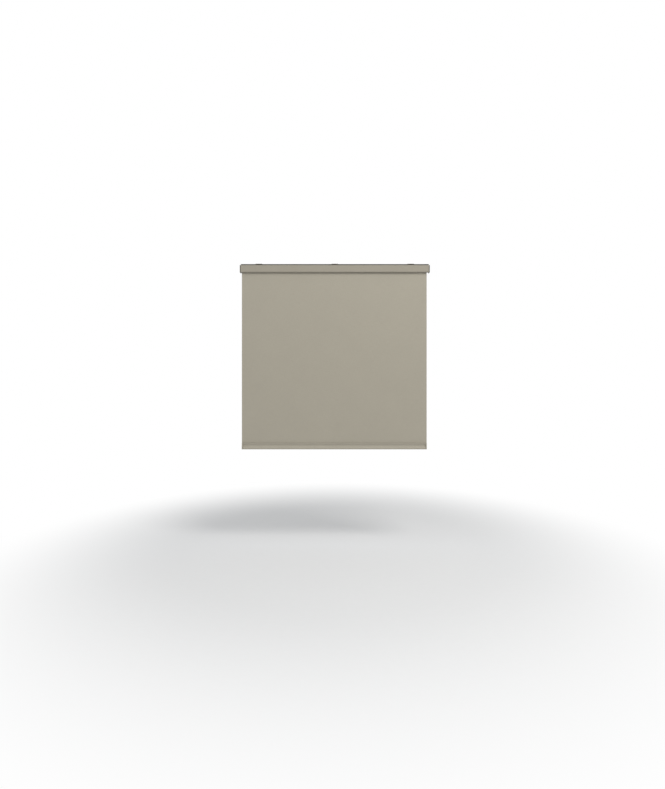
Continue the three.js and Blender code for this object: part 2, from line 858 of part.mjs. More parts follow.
function idlePin() {
	const collarEnd = idleCollarFace - idlePinCollarLength;
	const tailEnd = idleSpringEnd - plugEndWall;
	const profile = [
		[-idlePinTip, 0],
		[-idlePinTip, idlePinRadius - idlePinChamfer],
		[-(idlePinTip - idlePinChamfer), idlePinRadius],
		[-idleCollarFace, idlePinRadius],
		[-idleCollarFace, idlePinCollarRadius],
		[-collarEnd, idlePinCollarRadius],
		[-collarEnd, idlePinTailRadius],
		[-tailEnd, idlePinTailRadius],
		[-tailEnd, 0],
	];
	return piece('idle_pin', turned(profile, smallRoundSteps), zincSteel);
}

function idlePinSpring() {
	const start = -(idleCollarFace - idlePinCollarLength) + seatGap + idleSpringWire;
	const end = -idleSpringEnd - seatGap - idleSpringWire;
	const pitch = (end - start) / idleSpringCurls;
	const { geometry, gap } = wound(idleSpringRadius, idleSpringWire, pitch, idleSpringCurls, start);
	console.log('idle_pin_spring: least gap to itself', gap.toFixed(2), 'mm');
	return piece('idle_pin_spring', geometry, springSteel);
}

// Spring end: a fixed shaft with a flat tang carries a brake drum and a cone; a plug and a second cone
// turn with the tube, and the lifting spring is wound between the two cones

const shaftTip = capInner - runningGap;
const shaftInner = shaftTip - shaftLength;
const collarFace = bracketInner - collarEndGap;
const collarInner = tubeEnd + seatGap;
const collarWallInner = collarFace - plugEndWall;
const springPlugInner = collarInner - springPlugLength;
const drumOuter = collarWallInner - brakeDrumInset;
const drumInner = drumOuter - brakeDrumLength;
const fixedConeOuter = drumInner - coneSpacing;
const fixedConeFlangeInner = fixedConeOuter - coneFlange;
const fixedConeInner = fixedConeFlangeInner - coneHubLength;
const springOuterEnd = fixedConeFlangeInner - seatGap - 2 * springWire;
const springInnerEnd = springOuterEnd - springCurls * springPitch;
const driveConeFlangeOuter = springInnerEnd - seatGap - 2 * springWire;
const driveConeOuter = driveConeFlangeOuter + coneHubLength;
const coneHubRadius = springRadius * coilFlat - springWire - seatGap;
const brakeCoilRadius = (brakeDrumRadius + seatGap + brakeWire) / coilFlat;
const shaftBore = shaftRadius + seatGap;
const springBushRadius = shaftBore + bushWall;

function springShaft() {
	const round = rod(shaftRadius, shaftInner, shaftTip);
	const tangStart = shaftTip - tangLength;
	const flats = [1, -1].map((side) => {
		const near = side * tangThickness / 2;
		const far = side * (shaftRadius + cutOverrun);
		const wide = shaftRadius + cutOverrun;
		const shape = rectangle(-wide, Math.min(near, far), wide, Math.max(near, far));
		return alongWidth(shape, tangStart, shaftTip + cutOverrun);
	});
	return piece('spring_shaft', cut(round, ...flats), zincSteel);
}

function springPlug() {
	const profile = [
		[springPlugInner, plugRadius - plugShell],
		[springPlugInner, plugRadius],
		[collarInner, plugRadius],
		[collarInner, plugFlangeRadius],
		[collarFace, plugFlangeRadius],
		[collarFace, springBushRadius + seatGap],
		[collarWallInner, springBushRadius + seatGap],
		[collarWallInner, plugRadius - plugShell],
	];
	const body = turned(profile);
	return piece('spring_plug', cut(body, ...keyways(springPlugInner - cutOverrun, collarInner)), darkPlastic);
}

function springBush() {
	const flangeOuter = collarWallInner - seatGap;
	const profile = [
		[flangeOuter - bushFlange, shaftBore],
		[flangeOuter - bushFlange, bushFlangeRadius],
		[flangeOuter, bushFlangeRadius],
		[flangeOuter, springBushRadius],
		[collarFace, springBushRadius],
		[collarFace, shaftBore],
	];
	return piece('spring_bush', turned(profile), whitePlastic);
}

function brakeDrum() {
	const profile = [
		[drumInner, shaftBore],
		[drumInner, brakeDrumFlangeRadius],
		[drumInner + brakeDrumFlange, brakeDrumFlangeRadius],
		[drumInner + brakeDrumFlange, brakeDrumRadius],
		[drumOuter, brakeDrumRadius],
		[drumOuter, shaftBore],
	];
	return piece('brake_drum', turned(profile), whitePlastic);
}

function brakeSpring() {
	const length = brakeCurls * brakePitch;
	const room = drumOuter - drumInner - brakeDrumFlange;
	const start = drumInner + brakeDrumFlange + (room - length) / 2;
	const { geometry, gap } = wound(brakeCoilRadius, brakeWire, brakePitch, brakeCurls, start);
	console.log('brake_spring: least gap to itself', gap.toFixed(2), 'mm');
	return piece('brake_spring', geometry, springSteel);
}

function fixedCone() {
	const profile = [
		[fixedConeInner, shaftBore],
		[fixedConeInner, coneHubRadius],
		[fixedConeFlangeInner, coneHubRadius],
		[fixedConeFlangeInner, fixedConeFlangeRadius],
		[fixedConeOuter, fixedConeFlangeRadius],
		[fixedConeOuter, shaftBore],
	];
	return piece('spring_fixed_cone', turned(profile), whitePlastic);
}

function driveCone() {
	const flangeInner = driveConeFlangeOuter - driveConeFlange;
	const profile = [
		[flangeInner, shaftBore],
		[flangeInner, plugRadius],
		[driveConeFlangeOuter, plugRadius],
		[driveConeFlangeOuter, coneHubRadius],
		[driveConeOuter, coneHubRadius],
		[driveConeOuter, shaftBore],
	];
	const tools = keyways(flangeInner - cutOverrun, driveConeFlangeOuter + cutOverrun);
	return piece('spring_drive_cone', cut(turned(profile), ...tools), darkPlastic);
}

function torsionSpring() {
	const start = springInnerEnd;
	const { geometry, gap } = wound(springRadius, springWire, springPitch, springCurls, start);
	console.log('torsion_spring: least gap to itself', gap.toFixed(2), 'mm');
	return piece('torsion_spring', geometry, springSteel);
}

// Bottom bar: a hollow extrusion with a finger cove along its front, covered like the panel.
// Its own origin is at the underside, in the plane of the fabric

function addBarCove(line, inset) {
	const lip = new THREE.Vector2(-barLipFront + inset, barHeight - barLip);
	const cove = new THREE.Vector2(-barCoveFront + inset, barCoveHeight);
	const nose = new THREE.Vector2(-barNoseFront + inset, barNoseHeight);
	const entry = cove.clone().lerp(lip, barCoveRoundShare);
	const exit = cove.clone().lerp(nose, barCoveRoundShare);
	line.moveTo(-barSlotWidth, barHeight - inset);
	line.lineTo(lip.x, barHeight - inset);
	line.lineTo(lip.x, lip.y);
	line.lineTo(entry.x, entry.y);
	line.quadraticCurveTo(cove.x, cove.y, exit.x, exit.y);
}

function addBarNose(line, inset) {
	const radius = Math.max(barNoseRadius - inset, barLeastRadius);
	const front = -barNoseFront + inset;
	const slope = new THREE.Vector2(-barCoveFront + inset, barCoveHeight);
	const entry = new THREE.Vector2(front, barNoseHeight).lerp(slope, barNoseRoundShare);
	const drop = barNoseRoundShare * (barNoseHeight - barNoseRadius);
	line.lineTo(entry.x, entry.y);
	line.quadraticCurveTo(front, barNoseHeight, front, barNoseHeight - drop);
	line.lineTo(front, inset + radius);
	line.absarc(front + radius, inset + radius, radius, half, half + quarter, false);
}

function addBarBack(line, inset, top) {
	const back = barBack - inset;
	line.lineTo(back - barBackRadius, inset);
	line.absarc(back - barBackRadius, inset + barBackRadius, barBackRadius, -quarter, 0, false);
	line.lineTo(back, top);
}

function barOutline() {
	const line = new THREE.Path();
	addBarCove(line, barInset);
	addBarNose(line, barInset);
	addBarBack(line, barInset, barHeight - barInset);
	return new THREE.Shape(pointsOf(line));
}

const barInset = barSkin + seatGap;
const barStart = fabricStart + barCapWidth + seatGap;
const barEnd = fabricEnd - barCapWidth - seatGap;

// The bar's hollow under its web, or a tongue that fits it with a gap
function barCavity(start, end, gap) {
	const inset = barInset + barWall + gap;
	const top = barWebHeight - barWall - gap;
	const rise = (top - barNoseHeight) / (barCoveHeight - barNoseHeight);
	const front = THREE.MathUtils.lerp(-barNoseFront, -barCoveFront, rise) + inset;
	const line = new THREE.Path();
	line.moveTo(front, top);
	addBarNose(line, inset);
	addBarBack(line, inset, top);
	return alongWidth(new THREE.Shape(pointsOf(line)), start, end);
}

function bottomBar() {
	const slot = rectangle(-barSlotWidth / 2, barHeight - barSlotDepth, barSlotWidth / 2, barHeight + cutOverrun);
	const pocketTop = barHeight - barSlotDepth + seatGap;
	const pocketBottom = barHeight - barSlotDepth - splinePocketDepth;
	const pocket = rectangle(-barSlotWidth / 2, pocketBottom, splinePocketBack, pocketTop);
	const start = barStart - cutOverrun;
	const end = barEnd + cutOverrun;
	const tools = [alongWidth(slot, start, end), alongWidth(pocket, start, end), barCavity(start, end, 0)];
	return piece('bottom_bar', cut(alongWidth(barOutline(), barStart, barEnd), ...tools), coatedAluminium);
}

function barFabric() {
	const line = new THREE.Path();
	addBarCove(line, barSkin / 2);
	addBarNose(line, barSkin / 2);
	line.lineTo(barBack - barBackRadius, barSkin / 2);
	return piece('bar_fabric', alongWidth(wallAlong(line, barSkin), barStart, barEnd), fabricMaterial);
}

function barCapOutline() {
	const shape = new THREE.Shape();
	const topFront = -barLipFront;
	shape.moveTo(barBack, barHeight - barBackRadius);
	shape.absarc(barBack - barBackRadius, barHeight - barBackRadius, barBackRadius, 0, quarter, false);
	shape.lineTo(topFront + barLip, barHeight);
	shape.absarc(topFront + barLip, barHeight - barLip, barLip, quarter, half, false);
	shape.lineTo(-barNoseFront, barNoseHeight);
	shape.lineTo(-barNoseFront, barNoseRadius);
	shape.absarc(-barNoseFront + barNoseRadius, barNoseRadius, barNoseRadius, half, half + quarter, false);
	shape.lineTo(barBack - barBackRadius, 0);
	shape.absarc(barBack - barBackRadius, barBackRadius, barBackRadius, -quarter, 0, false);
	shape.closePath();
	return shape;
}

function barEndCap(name, side, outer) {
	const inner = outer - barCapWidth;
	const plate = atSide(side, barCapOutline(), inner, outer);
	const near = inner - barCapTongue;
	const far = inner + barCapWidth / 2;
	const tongue = side > 0 ? barCavity(near, far, seatGap) : barCavity(-far, -near, seatGap);
	return piece(name, join(plate, tongue), taupePlastic);
}

function barWeight() {
	const back = barBack - barInset - barWall - seatGap;
	const bottom = barInset + barWall + barBackRadius;
	const shape = rectangle(back - weightThickness, bottom, back, bottom + weightHeight);
	return piece('bar_weight', alongWidth(shape, barStart + weightEndGap, barEnd - weightEndGap), zincSteel);
}

const panelBack = fabricThickness / 2;

function fabricSpline() {
	const front = panelBack + seatGap;
	const bottom = barHeight - barSlotDepth - splinePocketDepth + seatGap;
	const shape = rectangle(front, bottom, front + splineThickness, barHeight - barSlotDepth - seatGap);
	return piece('fabric_spline', alongWidth(shape, barStart, barEnd), whitePlastic);
}

// Fabric panel: it hangs straight from the front of the roll into the bar's slot, between the bar's caps
function fabricPanel(length) {
	const bottom = barHeight - barSlotDepth - splinePocketDepth + 2 * seatGap;
	const shoulder = barHeight + seatGap;
	const shape = new THREE.Shape();
	shape.moveTo(barStart, bottom);
	shape.lineTo(barEnd, bottom);
	shape.lineTo(barEnd, shoulder);
	shape.lineTo(fabricEnd, shoulder);
	shape.lineTo(fabricEnd, length);
	shape.lineTo(fabricStart, length);
	shape.lineTo(fabricStart, shoulder);
	shape.lineTo(barStart, shoulder);
	shape.closePath();
	const geometry = new THREE.ExtrudeGeometry(shape, { depth: fabricThickness, bevelEnabled: false });
	geometry.rotateX(quarter);
	geometry.translate(0, fabricThickness / 2, 0);
	return piece('fabric_panel', geometry, fabricBackMaterial);
}

// Assembly

const clipPlace = overallWidth / 2 - clipEndDistance;

const headbox = new THREE.Group();
headbox.add(
	headRail(),
	frontFascia(),
	fasciaFabric(),
	mountingClip('mounting_clip_left', -clipPlace),
	mountingClip('mounting_clip_middle', 0),
	mountingClip('mounting_clip_right', clipPlace),
	endCap('end_cap_left', -1),
	endCap('end_cap_right', 1),
	capScrew('cap_screw_left_front', -1, channelPlaces[0]),
	capScrew('cap_screw_left_rear', -1, channelPlaces[1]),
	capScrew('cap_screw_right_front', 1, channelPlaces[0]),
	capScrew('cap_screw_right_rear', 1, channelPlaces[1]),
	idleBracket(),
	springBracket(),
	idleBush(),
);

const roller = new THREE.Group();
roller.position.z = rollerAxisHeight;
roller.add(
	rollerTube(),
	fixingStrip(),
	fabricRoll(),
	idlePlug(),
	idlePin(),
	idlePinSpring(),
	springPlug(),
	springBush(),
	springShaft(),
	brakeDrum(),
	brakeSpring(),
	fixedCone(),
	torsionSpring(),
	driveCone(),
);

const panelPlane = -(restRollRadius - fabricThickness / 2);
const bottomRail = new THREE.Group();
bottomRail.position.set(0, panelPlane, -restDrop);
bottomRail.add(
	bottomBar(),
	barFabric(),
	barEndCap('bar_end_cap_left', -1, -fabricStart),
	barEndCap('bar_end_cap_right', 1, fabricEnd),
	barWeight(),
	fabricSpline(),
	fabricPanel(restDrop + rollerAxisHeight - seatGap),
);

const blind = new THREE.Group();
blind.add(headbox, roller, bottomRail);

export default blind;
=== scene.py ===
# Looks of the blackout roller blind: cloth, coated extrusions, moulded plastics and the small hardware.
# Metres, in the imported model's frame: X along the width, -Y towards the room, +Z up.

import json
import math

import bmesh
import bpy
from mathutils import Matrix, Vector

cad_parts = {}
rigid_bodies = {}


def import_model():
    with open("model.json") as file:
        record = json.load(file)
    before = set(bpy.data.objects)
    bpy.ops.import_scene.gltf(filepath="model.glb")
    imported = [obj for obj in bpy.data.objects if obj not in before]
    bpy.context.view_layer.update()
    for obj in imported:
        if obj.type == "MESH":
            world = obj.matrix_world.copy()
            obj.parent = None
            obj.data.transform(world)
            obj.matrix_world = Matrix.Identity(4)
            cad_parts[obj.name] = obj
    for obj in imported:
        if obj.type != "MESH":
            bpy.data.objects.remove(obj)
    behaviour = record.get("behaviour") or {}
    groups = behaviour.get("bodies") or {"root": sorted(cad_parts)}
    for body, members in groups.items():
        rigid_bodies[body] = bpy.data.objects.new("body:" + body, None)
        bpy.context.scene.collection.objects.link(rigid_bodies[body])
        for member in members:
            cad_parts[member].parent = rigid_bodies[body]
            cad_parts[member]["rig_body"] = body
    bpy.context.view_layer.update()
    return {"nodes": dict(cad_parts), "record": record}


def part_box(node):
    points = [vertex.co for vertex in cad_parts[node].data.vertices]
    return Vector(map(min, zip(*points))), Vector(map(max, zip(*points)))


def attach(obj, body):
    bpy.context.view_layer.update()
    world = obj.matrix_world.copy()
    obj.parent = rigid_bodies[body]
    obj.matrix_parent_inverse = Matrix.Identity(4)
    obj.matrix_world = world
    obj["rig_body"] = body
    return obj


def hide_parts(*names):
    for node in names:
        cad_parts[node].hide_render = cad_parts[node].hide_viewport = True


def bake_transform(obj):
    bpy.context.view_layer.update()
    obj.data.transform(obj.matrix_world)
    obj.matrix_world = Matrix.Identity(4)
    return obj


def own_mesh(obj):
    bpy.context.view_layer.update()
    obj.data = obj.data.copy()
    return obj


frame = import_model()
nodes = frame["nodes"]

MM = 0.001

# Camera: level and square to the blind, as the photograph sees it
IMAGE_HEIGHT = 789
METRES_PER_PIXEL = 1.2 / 190
CAMERA_DISTANCE = 4.0
CAMERA_X = -0.0145
CAMERA_Z = -0.8264
CAMERA_CLIP = (0.05, 60)
SENSOR = 36.0

# Cloth: its thickness, its threads, the long and the fine side of their slubs, and how it lies on the roll
CLOTH = 0.38 * MM
THREAD = 0.62 * MM
SLUB_LONG, SLUB_FINE = 28, 1500
ROLL_TURNS = 4.25
ROLL_SEAT = 0.08 * MM
ROLL_SPREAD_SHARE = 0.94

# The hanging panel: where its strips meet, as shares of its length, and how far it waves towards the room.
# Each wave has its share, its radians a metre across and where it starts, and its radians a metre down.
PANEL_SHARES = [0.0, 0.1, 0.3, 0.7, 0.9, 1.0]
SHOULDER_GAP = 0.15 * MM
WAVE_REACH = 0.75 * MM
LEAN, CALM_POWER = 0.92, 0.7
PANEL_WAVES = [(0.45, 9.3, 0.8, 0.0), (0.3, 17.1, 2.1, 1.4), (0.16, 2.2, 0.0, 13.0)]

# The fascia's front in the side view, at the middle of its cloth
FASCIA_TOP_RADIUS, FASCIA_BEND_RADIUS = 2.3 * MM, 5.8 * MM
FASCIA_RETURN, FASCIA_TOP_INSET = 0.6 * MM, 0.2 * MM

# The bottom bar's front in the side view, forward of the cloth's plane and up from the underside
LIP_FORWARD, LIP_DOWN, LIP_TURN = 6.5 * MM, 2.2 * MM, 0.6 * MM
COVE_FORWARD, COVE_UP = 0.4 * MM, 22 * MM
NOSE_UP, NOSE_DROP, NOSE_RADIUS = 9 * MM, 1.75 * MM, 4 * MM
COVE_ROUND_SHARE, NOSE_ROUND_SHARE = 0.5, 0.35
SLOT_FORWARD, UNDER_BACK = 1.5 * MM, 3 * MM

# Fineness of the cloth's mesh: steps along it, steps across it, points a turn of the roll and steps a bend
PANEL_STEP, TUCK_STEP, FASCIA_STEP, BAR_STEP = 12 * MM, 4 * MM, 4 * MM, 3 * MM
TUCK_COLUMN, COVER_COLUMN, ROLL_COLUMN = 24 * MM, 40 * MM, 150 * MM
ROLL_POINTS = 32
FASCIA_TOP_STEPS, FASCIA_BEND_STEPS = 8, 12
LIP_STEPS, COVE_STEPS, NOSE_STEPS = 4, 10, 8
SAME_POINT = 0.01 * MM

# Edges: from which angle they are drawn sharp, on hard pieces and on cloth, and how hard ones are broken
SHARP = math.radians(35)
CREASE = math.radians(50)
FLAT = math.radians(2)
MERGE = 0.02 * MM
BEVEL_SEGMENTS = 2

# How far each node's sharp edges are broken, in millimetres
EASED = {
    "end_cap_left": 0.3, "end_cap_right": 0.3, "bar_end_cap_left": 0.5, "bar_end_cap_right": 0.5,
    "mounting_clip_left": 0.3, "mounting_clip_middle": 0.3, "mounting_clip_right": 0.3,
    "idle_bracket": 0.25, "spring_bracket": 0.25, "spring_plug": 0.3, "bottom_bar": 0.2,
    "idle_bush": 0.25, "spring_bush": 0.25, "brake_drum": 0.3, "spring_fixed_cone": 0.3,
    "spring_drive_cone": 0.3, "bar_weight": 0.4, "fabric_spline": 0.2, "fabric_fixing_strip": 0.2,
    "head_rail": 0.2, "front_fascia": 0.2, "roller_tube": 0.15, "idle_plug": 0.25, "idle_pin": 0.2,
    "spring_shaft": 0.2,
}

# Cap screws: the head's dome as shares of its radius at depths under its top, then the thread and the cross
DOME = [(0.5, 0.0), (0.72, 0.12 * MM), (0.92, 0.42 * MM), (1.0, 0.8 * MM)]
HEAD_DEPTH, TIP_RADIUS = 1.6 * MM, 0.15 * MM
SCREW_RADIUS, SCREW_PITCH, ROOT_SHARE = 1.4 * MM, 1.1 * MM, 0.78
SCREW_SIDES = 40
CROSS_DEPTH, CROSS_REACH, CROSS_WIDTH = 1.0 * MM, 1.45 * MM, 0.34 * MM
CROSS_TOP_SHARE, CROSS_FLOOR_SHARE = 1.25, 0.55

# Springs: the wire's radius, the number of turns, and the hubs that the wire grips with each hub's free end
SPRINGS = {
    "torsion_spring": (0.9 * MM, 30, [("spring_fixed_cone", "low"), ("spring_drive_cone", "high")]),
    "brake_spring": (0.7 * MM, 6, [("brake_drum", "high")]),
    "idle_pin_spring": (0.4 * MM, 8, []),
}
GRIP_GAP = 0.06 * MM
RIM_DEPTH = 0.1 * MM
WIRE_SIDES, WIRE_POINTS = 10, 40

# Noise textures run mostly between these values
NOISE_LOW, NOISE_HIGH = 0.3, 0.7

# Stage: the floor, the sky, and the place, aim, size, watts and colour of each lamp
FLOOR_Z = -1.78
FLOOR_REACH = 30.0
FLOOR_COLOUR = (0.7, 0.7, 0.7, 1)
FLOOR_FADE = (0.9, 2.2)
FLOOR_FADE_SCALE = (1.0, 0.75, 0.0)
SKY_ABOVE, SKY_BELOW = 0.79, 0.13
SKY_FADE = 0.5
SKY_COLOUR = (0.97, 0.985, 1.0, 1)
LAMPS = {
    "key": ((1.6, -2.5, 2.5), (0, 0, -0.4), (1.8, 1.8), 93, (1.0, 0.985, 0.96)),
    "fill": ((-2.6, -2.8, 0.6), (0, 0, -0.6), (2.2, 2.2), 9, (0.96, 0.98, 1.0)),
}

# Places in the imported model
roll_low, roll_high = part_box("fabric_roll")
panel_low, panel_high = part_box("fabric_panel")
axis_z = (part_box("spring_bush")[0].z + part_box("spring_bush")[1].z) / 2
roll_radius = (roll_high.y - roll_low.y) / 2
cloth_start, cloth_end = roll_low.x, roll_high.x
panel_y = roll_low.y + CLOTH / 2
panel_top = axis_z
shoulder_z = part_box("bar_end_cap_left")[1].z + SHOULDER_GAP
panel_bottom = panel_low.z
slot_of = {entry["node"]: entry["material_slot"] for entry in frame["record"]["subparts"]}


# Small helpers

def place_camera():
    data = bpy.data.cameras.new("camera")
    data.sensor_fit = "AUTO"
    data.sensor_width = SENSOR
    reach = IMAGE_HEIGHT * METRES_PER_PIXEL
    data.lens = SENSOR * CAMERA_DISTANCE / reach
    data.clip_start, data.clip_end = CAMERA_CLIP
    camera = bpy.data.objects.new("camera", data)
    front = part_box("fascia_fabric")[0].y
    camera.location = (CAMERA_X, front - CAMERA_DISTANCE, CAMERA_Z)
    camera.rotation_euler = (math.pi / 2, 0, 0)
    bpy.context.scene.collection.objects.link(camera)
    bpy.context.scene.camera = camera


def new_piece(name, vertices, faces, materials, face_materials=None, smooth=True, uv=None):
    mesh = bpy.data.meshes.new(name)
    mesh.from_pydata(vertices, [], faces)
    for material in materials:
        mesh.materials.append(material)
    if face_materials:
        mesh.polygons.foreach_set("material_index", face_materials)
    mesh.polygons.foreach_set("use_smooth", [smooth] * len(faces))
    if uv:
        attribute = mesh.attributes.new("cloth", "FLOAT_VECTOR", "POINT")
        attribute.data.foreach_set("vector", [c for point in uv for c in point])
    mesh.update()
    piece = bpy.data.objects.new(name, mesh)
    bpy.context.scene.collection.objects.link(piece)
    return piece


def outward(piece, sharp=SHARP):
    """Turns a piece's faces outward and marks the edges that are drawn sharp."""
    bm = bmesh.new()
    bm.from_mesh(piece.data)
    bmesh.ops.recalc_face_normals(bm, faces=bm.faces)
    for edge in bm.edges:
        edge.smooth = edge.calc_face_angle(0) < sharp
    bm.to_mesh(piece.data)
    bm.free()


def stand_for(piece, node):
    """The piece replaces a node and rides its body."""
    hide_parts(node)
    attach(piece, nodes[node]["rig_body"])


def resampled(points, step):
    """The same line with points no further apart than step."""
    line = [Vector(points[0])]
    for a, b in zip(points, points[1:]):
        a, b = Vector(a), Vector(b)
        count = max(1, math.ceil((b - a).length / step))
        line += [a.lerp(b, i / count) for i in range(1, count + 1)]
    return line


def stations(start, end, step):
    count = max(1, math.ceil((end - start) / step))
    return [start + (end - start) * i / count for i in range(count + 1)]


def arc_points(cy, cz, radius, start, end, steps):
    return [
        (cy + radius * math.cos(a), cz + radius * math.sin(a))
        for a in (start + (end - start) * i / steps for i in range(steps + 1))
    ]


def curve_points(start, control, end, steps):
    """Points of a quadratic curve."""
    found = []
    for i in range(steps + 1):
        t = i / steps
        found.append(start.lerp(control, t).lerp(control.lerp(end, t), t))
    return found


def without_doubles(line):
    kept = [line[0]]
    for point in line[1:]:
        if (point - kept[-1]).length > SAME_POINT:
            kept.append(point)
    return kept


def normals_of(line):
    """Unit normals to the left of a line in the side view."""
    found = []
    for i, point in enumerate(line):
        before = line[max(i - 1, 0)]
        after = line[min(i + 1, len(line) - 1)]
        along = (after - before).normalized()
        found.append(Vector((-along.y, along.x)))
    return found


def sheet_along(name, line, x_stations, thickness, materials, wave=None, arc_start=0.0):
    """A sheet whose middle follows a line of (y, z) in the side view, with its face on the line's left.
    Materials are those of the face, the back and the cut edges."""
    normals = normals_of(line)
    arc = [arc_start]
    for a, b in zip(line, line[1:]):
        arc.append(arc[-1] + (b - a).length)
    rows, columns = len(line), len(x_stations)
    vertices, uv = [], []
    for side in (1, -1):
        for j in range(rows):
            for x in x_stations:
                lift = wave(x, line[j].y) if wave else 0.0
                point = line[j] + normals[j] * (side * thickness / 2)
                vertices.append((x, point.x + lift, point.y))
                uv.append((x, arc[j], 0.0))
    faces, kinds = [], []

    def at(side, j, i):
        return side * rows * columns + j * columns + i

    def add(quad, kind):
        faces.append(quad)
        kinds.append(kind)

    for j in range(rows - 1):
        for i in range(columns - 1):
            add((at(0, j, i), at(0, j + 1, i), at(0, j + 1, i + 1), at(0, j, i + 1)), 0)
            add((at(1, j, i), at(1, j, i + 1), at(1, j + 1, i + 1), at(1, j + 1, i)), 1)
        last = columns - 1
        add((at(0, j, 0), at(1, j, 0), at(1, j + 1, 0), at(0, j + 1, 0)), 2)
        add((at(0, j, last), at(0, j + 1, last), at(1, j + 1, last), at(1, j, last)), 2)
    for i in range(columns - 1):
        last = rows - 1
        add((at(0, 0, i), at(0, 0, i + 1), at(1, 0, i + 1), at(1, 0, i)), 2)
        add((at(0, last, i), at(1, last, i), at(1, last, i + 1), at(0, last, i + 1)), 2)
    piece = new_piece(name, vertices, faces, materials, kinds, uv=uv)
    outward(piece, CREASE)
    return piece


def ring_faces(rings, sides):
    """Faces of a tube of rings that follow each other, with its two ends."""
    faces = []
    for j in range(rings - 1):
        for i in range(sides):
            k = (i + 1) % sides
            faces.append((j * sides + i, j * sides + k, (j + 1) * sides + k, (j + 1) * sides + i))
    faces.append(tuple(range(sides))[::-1])
    faces.append(tuple((rings - 1) * sides + i for i in range(sides)))
    return faces


# Materials

class Nodes:
    """Short words for building the node tree of a material or of the world."""

    def __init__(self, owner):
        owner.use_nodes = True
        self.owner = owner
        self.tree = owner.node_tree
        self.shader = self.tree.nodes.get("Principled BSDF")

    def node(self, kind, **settings):
        made = self.tree.nodes.new(kind)
        for key, value in settings.items():
            setattr(made, key, value)
        return made

    def link(self, source, target):
        self.tree.links.new(source, target)

    def put(self, socket, value):
        if isinstance(value, bpy.types.NodeSocket):
            self.link(value, socket)
        else:
            socket.default_value = value

    def math(self, operation, a, b=0.0):
        made = self.node("ShaderNodeMath", operation=operation)
        self.put(made.inputs[0], a)
        self.put(made.inputs[1], b)
        return made.outputs[0]

    def place(self):
        return self.node("ShaderNodeTexCoord").outputs["Object"]

    def attribute(self, name):
        return self.node("ShaderNodeAttribute", attribute_name=name).outputs["Vector"]

    def split(self, vector):
        made = self.node("ShaderNodeSeparateXYZ")
        self.link(vector, made.inputs[0])
        return made.outputs

    def scaled(self, vector, scale):
        made = self.node("ShaderNodeVectorMath", operation="MULTIPLY")
        self.put(made.inputs[0], vector)
        self.put(made.inputs[1], scale)
        return made.outputs[0]

    def noise(self, vector, scale=1.0, detail=2.0, roughness=0.5):
        made = self.node("ShaderNodeTexNoise")
        self.put(made.inputs["Vector"], vector)
        self.put(made.inputs["Scale"], scale)
        self.put(made.inputs["Detail"], detail)
        self.put(made.inputs["Roughness"], roughness)
        return made.outputs["Fac"]

    def ranged(self, value, to_low, to_high, low=NOISE_LOW, high=NOISE_HIGH, **settings):
        """A value that runs from low to high, drawn out or in to another range."""
        made = self.node("ShaderNodeMapRange", **settings)
        self.put(made.inputs["Value"], value)
        for key, number in (("From Min", low), ("From Max", high), ("To Min", to_low), ("To Max", to_high)):
            self.put(made.inputs[key], number)
        return made.outputs["Result"]

    def threads(self, flat):
        """How high the threads stand that run along the cloth, and those that run across it."""
        across, along = self.split(flat)[:2]
        return [
            self.math("ABSOLUTE", self.math("SINE", self.math("MULTIPLY", measure, math.pi / THREAD)))
            for measure in (across, along)
        ]

    def toned(self, colour, *factors):
        """A colour made lighter or darker by factors about 1."""
        factor = factors[0]
        for other in factors[1:]:
            factor = self.math("MULTIPLY", factor, other)
        made = self.node("ShaderNodeMix", data_type="RGBA", blend_type="MULTIPLY")
        self.put(made.inputs["Factor"], 1.0)
        self.put(made.inputs[6], colour)
        grey = self.node("ShaderNodeCombineColor")
        for key in ("Red", "Green", "Blue"):
            self.put(grey.inputs[key], factor)
        self.link(grey.outputs[0], made.inputs[7])
        return made.outputs[2]

    def bump(self, height, strength, distance):
        made = self.node("ShaderNodeBump")
        self.put(made.inputs["Height"], height)
        self.put(made.inputs["Strength"], strength)
        self.put(made.inputs["Distance"], distance)
        return made.outputs["Normal"]

    def sight(self):
        """1 for the rays of the camera, and for those that mirror or pass through, and 0 for the rest."""
        paths = self.node("ShaderNodeLightPath")
        seen = paths.outputs["Is Camera Ray"]
        for key in ("Is Glossy Ray", "Is Transmission Ray"):
            seen = self.math("MAXIMUM", seen, paths.outputs[key])
        return seen

    def blend_out(self, factor, first, second, output):
        """Sends out a blend of two shaders."""
        made = self.node("ShaderNodeMixShader")
        for source, socket in zip((factor, first, second), made.inputs):
            self.link(source, socket)
        self.link(made.outputs[0], self.tree.nodes[output].inputs["Surface"])

    def finish(self, **sockets):
        for name, value in sockets.items():
            self.put(self.shader.inputs[name.replace("_", " ")], value)
        return self.owner


def new_look(name):
    return Nodes(bpy.data.materials.new(name))


def srgb(red, green, blue):
    def linear(c):
        c /= 255
        return c / 12.92 if c <= 0.04045 else ((c + 0.055) / 1.055) ** 2.4
    return (linear(red), linear(green), linear(blue), 1.0)


